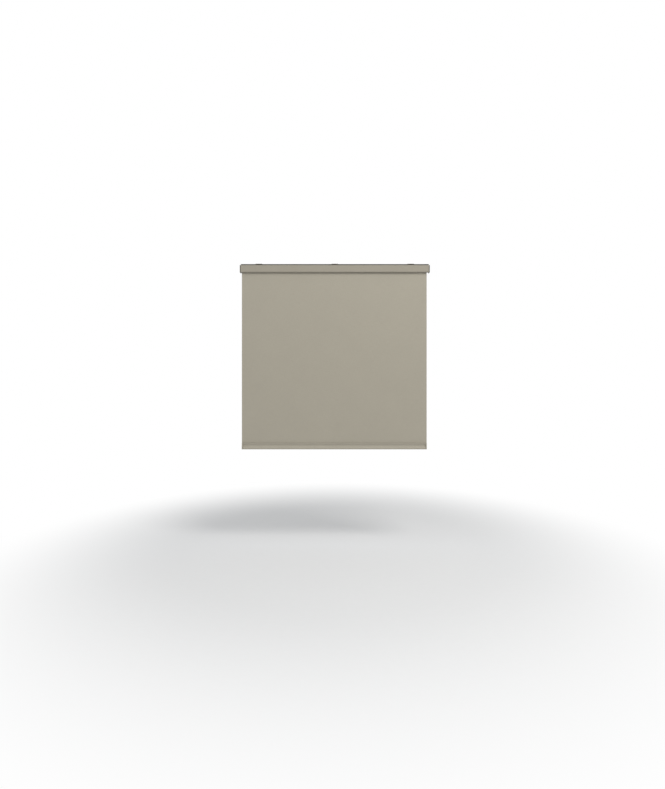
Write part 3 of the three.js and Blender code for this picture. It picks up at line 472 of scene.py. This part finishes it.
def woven_cloth(name, colour):
    """Plain weave with slubs along both threads. It reads the cloth's own flat measure, in metres."""
    n = new_look(name)
    flat = n.attribute("cloth")
    checker = n.node("ShaderNodeTexChecker")
    n.put(checker.inputs["Vector"], n.scaled(flat, (1 / THREAD, 1 / THREAD, 1)))
    n.put(checker.inputs["Scale"], 1.0)
    over = checker.outputs["Fac"]
    under = n.math("SUBTRACT", 1.0, over)
    warp, weft = n.threads(flat)
    threads = n.math("ADD", n.math("MULTIPLY", warp, over), n.math("MULTIPLY", weft, under))
    weft_slub = n.noise(n.scaled(flat, (SLUB_LONG, SLUB_FINE, 1)))
    warp_slub = n.noise(n.scaled(flat, (SLUB_FINE, SLUB_LONG, 1)))
    slub = n.math("ADD", n.math("MULTIPLY", weft_slub, 0.6), n.math("MULTIPLY", warp_slub, 0.4))
    mottle = n.noise(flat, scale=6.0)
    slub_tone = n.ranged(slub, 0.93, 1.07)
    # Painted shade: the weave is coloured darker where its threads dip between each other
    thread_shade_tone = n.ranged(threads, 0.93, 1.03, low=0.0, high=1.0)
    height = n.math("ADD", threads, n.math("MULTIPLY", slub, 0.8))
    return n.finish(
        Base_Color=n.toned(colour, slub_tone, thread_shade_tone, n.ranged(mottle, 0.99, 1.01)),
        Roughness=n.ranged(slub, 0.86, 0.96),
        Sheen_Weight=0.08,
        Sheen_Roughness=0.5,
        Specular_IOR_Level=0.25,
        Normal=n.bump(height, strength=0.35, distance=0.12 * MM),
    )


def coated_back(name, colour):
    """The foam coating that blocks the light, with the weave faint beneath it."""
    n = new_look(name)
    flat = n.attribute("cloth")
    warp, weft = n.threads(flat)
    weave = n.math("MULTIPLY", warp, weft)
    grain = n.noise(flat, scale=2600.0, detail=3.0)
    mottle = n.noise(flat, scale=9.0, detail=3.0)
    height = n.math("ADD", n.math("MULTIPLY", weave, 0.5), n.math("MULTIPLY", grain, 0.5))
    return n.finish(
        Base_Color=n.toned(colour, n.ranged(mottle, 0.975, 1.02), n.ranged(grain, 0.985, 1.015)),
        Roughness=n.ranged(mottle, 0.62, 0.74),
        Normal=n.bump(height, strength=0.25, distance=0.08 * MM),
    )


def cut_edge(name, colour):
    """The cloth's cut edge, where the pale core shows between the threads."""
    n = new_look(name)
    fibres = n.noise(n.attribute("cloth"), scale=1600.0)
    return n.finish(
        Base_Color=n.toned(colour, n.ranged(fibres, 0.85, 1.1)),
        Roughness=0.9,
        Normal=n.bump(fibres, strength=0.3, distance=0.1 * MM),
    )


def coated_metal(name, colour):
    """Powder coat on an extrusion: orange peel, faint draw lines along the width and slight rubs."""
    n = new_look(name)
    place = n.place()
    peel = n.noise(place, scale=1400.0, roughness=0.4)
    lines = n.noise(n.scaled(place, (1.5, 700, 700)))
    rub = n.noise(n.scaled(place, (14, 60, 60)), detail=4.0, roughness=0.65)
    rub_tone = n.ranged(rub, 0.99, 1.03, low=0.35, high=0.75)
    height = n.math("ADD", peel, n.math("MULTIPLY", lines, 0.5))
    return n.finish(
        Base_Color=n.toned(colour, n.ranged(lines, 0.985, 1.012), rub_tone),
        Roughness=n.ranged(rub, 0.44, 0.58),
        Specular_IOR_Level=0.45,
        Normal=n.bump(height, strength=0.18, distance=0.06 * MM),
    )


def drawn_metal(name, colour, smoothest, roughest, scale=(2.0, 900, 900)):
    """Bare metal with fine lines along the width."""
    n = new_look(name)
    place = n.place()
    lines = n.noise(n.scaled(place, scale), detail=3.0, roughness=0.6)
    stain = n.noise(place, scale=22.0, detail=3.0)
    return n.finish(
        Base_Color=n.toned(colour, n.ranged(lines, 0.94, 1.05), n.ranged(stain, 0.94, 1.03)),
        Metallic=1.0,
        Roughness=n.ranged(lines, smoothest, roughest),
        Normal=n.bump(lines, strength=0.12, distance=0.04 * MM),
    )


def zinc_plate(name, colour):
    """Bright zinc on stamped steel: fine grain, slight bloom and handling marks."""
    n = new_look(name)
    place = n.place()
    grain = n.noise(place, scale=900.0)
    bloom = n.noise(place, scale=70.0, detail=4.0, roughness=0.6)
    return n.finish(
        Base_Color=n.toned(colour, n.ranged(bloom, 0.9, 1.06, high=0.75), n.ranged(grain, 0.97, 1.03)),
        Metallic=1.0,
        Roughness=n.ranged(bloom, 0.26, 0.42),
        Normal=n.bump(grain, strength=0.1, distance=0.04 * MM),
    )


def moulded_plastic(name, colour, smoothest=0.48, roughest=0.6):
    """Moulded plastic with a fine spark-eroded grain."""
    n = new_look(name)
    place = n.place()
    grain = n.noise(place, scale=1300.0, detail=3.0, roughness=0.55)
    flow = n.noise(place, scale=30.0, detail=3.0)
    return n.finish(
        Base_Color=n.toned(colour, n.ranged(flow, 0.97, 1.03), n.ranged(grain, 0.98, 1.02)),
        Roughness=n.ranged(grain, smoothest, roughest),
        Specular_IOR_Level=0.45,
        Normal=n.bump(grain, strength=0.22, distance=0.05 * MM),
    )


cloth_face = woven_cloth("cloth_face", srgb(166, 160, 146))
# Painted shade: the fascia's cloth is the panel's weave toned darker, standing for the shade on the
# headbox's front
shaded_fascia_face = woven_cloth("shaded_fascia_face", srgb(156, 150, 137))
cloth_back = coated_back("cloth_back", srgb(186, 181, 170))
cloth_edge = cut_edge("cloth_edge", srgb(176, 171, 160))
zinc = zinc_plate("zinc_steel", (0.63, 0.65, 0.68, 1))
spring_wire = drawn_metal("spring_steel", (0.4, 0.41, 0.43, 1), 0.24, 0.38, (260, 260, 260))

CLOTH_LOOKS = [cloth_face, cloth_back, cloth_edge]
SHADED_FASCIA_LOOKS = [shaded_fascia_face, cloth_back, cloth_edge]
SLOT_LOOKS = {
    "coated_aluminium": coated_metal("coated_aluminium", srgb(160, 154, 140)),
    # Painted shade: the head rail is coloured dark so that it stands for the shadow gap above the headbox
    "dark_aluminium": coated_metal("dark_aluminium", srgb(68, 62, 49)),
    # Painted shade: the clips are coloured dark so that they sit in the shadow gap above the headbox
    # without showing
    "dark_steel": coated_metal("dark_steel", srgb(74, 68, 56)),
    "mill_aluminium": drawn_metal("mill_aluminium", (0.74, 0.745, 0.75, 1), 0.3, 0.44),
    "zinc_steel": zinc,
    "spring_steel": spring_wire,
    # Painted shade: the end caps are coloured dark so that they stand for the shadow lines at the headbox's
    # ends
    "dark_plastic": moulded_plastic("dark_plastic", srgb(76, 71, 59)),
    "taupe_plastic": moulded_plastic("taupe_plastic", srgb(157, 151, 136)),
    "white_plastic": moulded_plastic("white_plastic", srgb(216, 214, 206), 0.4, 0.52),
}


def dress_nodes():
    """Gives every rigid CAD node the look of its slot."""
    for node, slot in slot_of.items():
        if slot in SLOT_LOOKS:
            mesh = nodes[node].data
            mesh.materials.clear()
            mesh.materials.append(SLOT_LOOKS[slot])


# Edges that catch the light

def eased(node, width):
    """A copy of a rigid node with its sharp edges broken, which stands for it."""
    mesh = nodes[node].data.copy()
    piece = bpy.data.objects.new(node + "_eased", mesh)
    bpy.context.scene.collection.objects.link(piece)
    bm = bmesh.new()
    bm.from_mesh(mesh)
    bmesh.ops.remove_doubles(bm, verts=bm.verts, dist=MERGE)
    bmesh.ops.dissolve_limit(bm, angle_limit=FLAT, verts=bm.verts, edges=bm.edges)
    sharp = [e for e in bm.edges if len(e.link_faces) == 2 and e.calc_face_angle(0) > SHARP]
    bmesh.ops.bevel(
        bm, geom=sharp, offset=width, offset_type="OFFSET", segments=BEVEL_SEGMENTS,
        profile=0.5, affect="EDGES", clamp_overlap=False,
    )
    bm.to_mesh(mesh)
    bm.free()
    mesh.polygons.foreach_set("use_smooth", [True] * len(mesh.polygons))
    smooth = piece.modifiers.new("normals", "WEIGHTED_NORMAL")
    smooth.keep_sharp = True
    stand_for(piece, node)


# Screws and springs

def cross_recess(centre, head_x, side):
    """A tapered cross that is cut out of a screw's head."""
    bm = bmesh.new()
    top = (head_x + side * CROSS_DEPTH / 2, CROSS_TOP_SHARE)
    floor = (head_x - side * CROSS_DEPTH, CROSS_FLOOR_SHARE)
    reach, width = CROSS_REACH, CROSS_WIDTH
    near = [(reach, width), (-reach, width), (-reach, -width), (reach, -width)]
    for turned in (False, True):
        rings = []
        for x, share in (top, floor):
            ring = []
            for a, b in near:
                y, z = (b, a * share) if turned else (a * share, b)
                ring.append(bm.verts.new((x, centre.y + y, centre.z + z)))
            rings.append(ring)
        bm.faces.new(rings[0])
        bm.faces.new(rings[1][::-1])
        for i in range(len(near)):
            k = (i + 1) % len(near)
            bm.faces.new((rings[0][i], rings[1][i], rings[1][k], rings[0][k]))
    bmesh.ops.recalc_face_normals(bm, faces=bm.faces)
    mesh = bpy.data.meshes.new("cross")
    bm.to_mesh(mesh)
    bm.free()
    cutter = bpy.data.objects.new("cross", mesh)
    bpy.context.scene.collection.objects.link(cutter)
    return cutter


def cut_away(piece, cutter):
    """Cuts one piece out of another for good and drops the cutter."""
    change = piece.modifiers.new("cut", "BOOLEAN")
    change.operation = "DIFFERENCE"
    change.solver = "EXACT"
    change.use_self = True
    change.object = cutter
    bpy.context.view_layer.update()
    seen = piece.evaluated_get(bpy.context.evaluated_depsgraph_get())
    mesh = bpy.data.meshes.new_from_object(seen)
    piece.modifiers.clear()
    piece.data = mesh
    bpy.data.objects.remove(cutter)


def make_cap_screw(node):
    """A pan-head screw with a cross recess and a thread, in the rail's channel."""
    low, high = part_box(node)
    centre = (low + high) / 2
    side = 1 if centre.x > 0 else -1
    outer, inner = (high.x, low.x) if side > 0 else (low.x, high.x)
    head, root = (high.y - low.y) / 2, SCREW_RADIUS * ROOT_SHARE
    profile = [(outer - side * depth, head * share) for share, depth in DOME]
    profile += [(outer - side * HEAD_DEPTH, head), (outer - side * HEAD_DEPTH, root)]
    x = outer - side * (HEAD_DEPTH + SCREW_PITCH)
    while abs(x - inner) > 2 * SCREW_PITCH:
        profile += [(x, root), (x - side * SCREW_PITCH / 2, SCREW_RADIUS)]
        x -= side * SCREW_PITCH
    profile += [(x, root), (inner, TIP_RADIUS)]
    vertices = []
    for x, radius in profile:
        for i in range(SCREW_SIDES):
            angle = 2 * math.pi * i / SCREW_SIDES
            vertices.append((x, centre.y + radius * math.cos(angle), centre.z + radius * math.sin(angle)))
    screw = new_piece(node + "_turned", vertices, ring_faces(len(profile), SCREW_SIDES), [zinc])
    outward(screw)
    cut_away(screw, cross_recess(centre, outer, side))
    outward(screw)
    stand_for(screw, node)


def hub_of(node, free_end):
    """Where a hub runs along X, and its radius at its free end."""
    low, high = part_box(node)
    x = low.x if free_end == "low" else high.x
    rim = [v.co for v in nodes[node].data.vertices if abs(v.co.x - x) < RIM_DEPTH]
    return low.x, high.x, max(math.hypot(co.y, co.z - axis_z) for co in rim)


def gripping(x, free, wire, pitch, hubs):
    """The coil's radius at x: tight on a hub, and free again one turn past it."""
    radius = free
    for start, end, hub in hubs:
        away = max(start - x, x - end, 0.0)
        share = max(0.0, 1 - away / pitch)
        share = share * share * (3 - 2 * share)
        radius = min(radius, free + (hub + wire + GRIP_GAP - free) * share)
    return radius


def make_coil(node):
    """A wound spring whose wire and turns are as the node's, drawn round and tight on its hubs."""
    wire, turns, grips = SPRINGS[node]
    low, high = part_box(node)
    free = (high.y - low.y) / 2 - wire
    start, end = low.x + wire, high.x - wire
    pitch = (end - start) / turns
    hubs = [hub_of(hub, free_end) for hub, free_end in grips]
    steps = turns * WIRE_POINTS
    rise = (end - start) / (2 * math.pi * turns)
    lean = math.atan2(rise, free)
    vertices = []
    for i in range(steps + 1):
        angle = 2 * math.pi * i / WIRE_POINTS
        x = start + (end - start) * i / steps
        out = Vector((0, math.cos(angle), math.sin(angle)))
        ahead = Vector((0, -math.sin(angle), math.cos(angle)))
        up = Vector((math.cos(lean), 0, 0)) - ahead * math.sin(lean)
        middle = Vector((x, 0, axis_z)) + out * gripping(x, free, wire, pitch, hubs)
        for k in range(WIRE_SIDES):
            turn = 2 * math.pi * k / WIRE_SIDES
            vertices.append(middle + (out * math.cos(turn) + up * math.sin(turn)) * wire)
    coil = new_piece(node + "_wound", vertices, ring_faces(steps + 1, WIRE_SIDES), [spring_wire])
    outward(coil)
    stand_for(coil, node)
    return coil


def make_pin_spring():
    """The idle pin's spring, with a mesh of its own."""
    coil = make_coil("idle_pin_spring")
    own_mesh(coil)


# Cloth pieces

def panel_wave(x, z):
    """The slight lie of hanging cloth towards the room, still at the roll and in the bar."""
    share = (panel_top - z) / (panel_top - shoulder_z)
    if not 0 < share < 1:
        return 0.0
    calm = math.sin(math.pi * share) ** CALM_POWER
    lie = sum(size * math.sin(x * across + start + z * down) for size, across, start, down in PANEL_WAVES)
    return -WAVE_REACH * calm * (LEAN + lie)


def strip_blend(strip):
    """Bakes the strip's placement into its mesh."""

    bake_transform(strip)


def make_panel():
    """The hanging cloth, in strips whose edges meet, and its tuck into the bottom bar."""
    length = panel_top - shoulder_z
    columns = stations(cloth_start, cloth_end, PANEL_STEP)
    for i, (a, b) in enumerate(zip(PANEL_SHARES, PANEL_SHARES[1:])):
        top, bottom = panel_top - a * length, panel_top - b * length
        line = resampled([(panel_y, bottom), (panel_y, top)], PANEL_STEP)
        strip = sheet_along(f"panel_cloth_{i + 1}", line, columns, CLOTH, CLOTH_LOOKS, panel_wave, bottom)
        strip_blend(strip)
        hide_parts("fabric_panel")
    tuck_line = resampled([(panel_y, panel_bottom), (panel_y, shoulder_z)], TUCK_STEP)
    low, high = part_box("bottom_bar")
    columns = stations(low.x, high.x, TUCK_COLUMN)
    tuck = sheet_along("panel_cloth_tuck", tuck_line, columns, CLOTH, CLOTH_LOOKS, None, panel_bottom)
    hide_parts("fabric_panel")
    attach(tuck, "bottom_rail")


def make_roll():
    """The cloth wound on the tube, as one spiral from the tube's groove to where it leaves at the front."""
    tube_low, tube_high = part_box("roller_tube")
    inner = (tube_high.y - tube_low.y) / 2 + CLOTH / 2 + ROLL_SEAT
    outer = roll_radius - CLOTH / 2
    steps = int(ROLL_TURNS * ROLL_POINTS)
    line = []
    for i in range(steps + 1):
        share = i / steps
        angle = math.pi - (1 - share) * ROLL_TURNS * 2 * math.pi
        radius = inner + (outer - inner) * share
        line.append(Vector((radius * math.cos(angle), axis_z + radius * math.sin(angle))))
    pitch = (outer - inner) / ROLL_TURNS
    thickness = min(CLOTH, ROLL_SPREAD_SHARE * pitch)
    line.reverse()
    columns = stations(cloth_start, cloth_end, ROLL_COLUMN)
    roll = sheet_along("roll_cloth", line, columns, thickness, CLOTH_LOOKS)
    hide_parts("fabric_roll")
    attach(roll, "roller")


def make_fascia_cloth():
    """Cloth glued round the fascia, from its top edge over the front to its lower return."""
    low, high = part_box("fascia_fabric")
    half = CLOTH / 2
    front, top, bottom = low.y + half, high.z - half, low.z + half
    upper, lower = FASCIA_TOP_RADIUS, FASCIA_BEND_RADIUS
    line = [(high.y - FASCIA_TOP_INSET, top)]
    line += arc_points(front + upper, top - upper, upper, math.pi / 2, math.pi, FASCIA_TOP_STEPS)
    line += arc_points(front + lower, bottom + lower, lower, math.pi, 1.5 * math.pi, FASCIA_BEND_STEPS)
    line += [(front + lower + FASCIA_RETURN, bottom)]
    points = resampled(line, FASCIA_STEP)
    points.reverse()
    columns = stations(low.x, high.x, COVER_COLUMN)
    # The fascia's face look carries painted shade: it is the panel's cloth toned darker
    cloth = sheet_along("fascia_cloth", points, columns, CLOTH, SHADED_FASCIA_LOOKS)
    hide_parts("fascia_fabric")
    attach(cloth, "headbox")


def make_bar_cloth():
    """Cloth glued over the bottom bar's front: over the lip, down the cove, round the nose and under."""
    low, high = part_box("bar_fabric")
    half = CLOTH / 2
    plane = (panel_low.y + panel_high.y) / 2
    lip = Vector((plane - LIP_FORWARD + half, high.z - LIP_DOWN))
    cove = Vector((plane - COVE_FORWARD + half, low.z + COVE_UP))
    nose = Vector((low.y + half, low.z + NOSE_UP))
    turn = LIP_TURN
    line = [Vector((plane - SLOT_FORWARD, high.z - half)), Vector((lip.x + turn, high.z - half))]
    line += arc_points(lip.x + turn, high.z - half - turn, turn, math.pi / 2, math.pi, LIP_STEPS)[1:]
    line += [lip]
    into, out = cove.lerp(lip, COVE_ROUND_SHARE), cove.lerp(nose, COVE_ROUND_SHARE)
    line += curve_points(into, cove, out, COVE_STEPS)
    into, out = nose.lerp(cove, NOSE_ROUND_SHARE), Vector((nose.x, nose.y - NOSE_DROP))
    line += curve_points(into, nose, out, NOSE_STEPS)
    radius = NOSE_RADIUS - half
    line += arc_points(nose.x + radius, low.z + half + radius, radius, math.pi, 1.5 * math.pi, NOSE_STEPS)
    line += [Vector((plane + UNDER_BACK, low.z + half))]
    points = without_doubles(resampled(line, BAR_STEP))
    points.reverse()
    columns = stations(low.x, high.x, COVER_COLUMN)
    cloth = sheet_along("bar_cloth", points, columns, CLOTH, CLOTH_LOOKS)
    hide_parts("bar_fabric")
    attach(cloth, "bottom_rail")


# Stage

def white_to_camera(name, colour):
    """A floor that keeps the blind's shadow near it and turns to plain white further off."""
    n = new_look(name)
    place = n.place()
    grain = n.noise(place, scale=35.0, detail=3.0)
    look = n.finish(Base_Color=n.toned(colour, n.ranged(grain, 0.995, 1.005)), Roughness=0.9)
    far = n.node("ShaderNodeVectorMath", operation="LENGTH")
    n.link(n.scaled(place, FLOOR_FADE_SCALE), far.inputs[0])
    share = n.ranged(far.outputs["Value"], 0.0, 1.0, *FLOOR_FADE, interpolation_type="SMOOTHSTEP")
    glow = n.node("ShaderNodeEmission")
    factor = n.math("MULTIPLY", share, n.sight())
    n.blend_out(factor, n.shader.outputs[0], glow.outputs[0], "Material Output")
    return look


def make_floor():
    r = FLOOR_REACH
    corners = [(-r, -r, FLOOR_Z), (r, -r, FLOOR_Z), (r, r, FLOOR_Z), (-r, r, FLOOR_Z)]
    look = white_to_camera("floor", FLOOR_COLOUR)
    new_piece("floor", corners, [(0, 1, 2, 3)], [look], smooth=False)


def make_world():
    """Plain daylight, stronger from above, behind which the camera, metal and glass see white."""
    world = bpy.data.worlds.new("world")
    bpy.context.scene.world = world
    n = Nodes(world)
    sky = n.tree.nodes["Background"]
    n.put(sky.inputs["Color"], SKY_COLOUR)
    height = n.split(n.node("ShaderNodeTexCoord").outputs["Generated"])["Z"]
    n.put(sky.inputs["Strength"], n.ranged(height, SKY_BELOW, SKY_ABOVE, -SKY_FADE, SKY_FADE))
    white = n.node("ShaderNodeBackground")
    n.put(white.inputs["Color"], (1, 1, 1, 1))
    n.blend_out(n.sight(), sky.outputs[0], white.outputs[0], "World Output")


def lamp(name, place, aim, size, watts, colour):
    data = bpy.data.lights.new(name, "AREA")
    data.shape = "RECTANGLE"
    data.size, data.size_y = size
    data.energy = watts
    data.color = colour
    light = bpy.data.objects.new(name, data)
    light.location = place
    light.rotation_euler = (Vector(aim) - Vector(place)).to_track_quat("-Z", "Y").to_euler()
    bpy.context.scene.collection.objects.link(light)


place_camera()
dress_nodes()
make_panel()
make_roll()
make_fascia_cloth()
make_bar_cloth()
for node, width in EASED.items():
    eased(node, width * MM)
for corner in ("left_front", "left_rear", "right_front", "right_rear"):
    make_cap_screw("cap_screw_" + corner)
make_coil("torsion_spring")
make_coil("brake_spring")
make_pin_spring()
make_floor()
make_world()
for name, settings in LAMPS.items():
    lamp(name, *settings)
bpy.context.scene.view_settings.view_transform = "Standard"
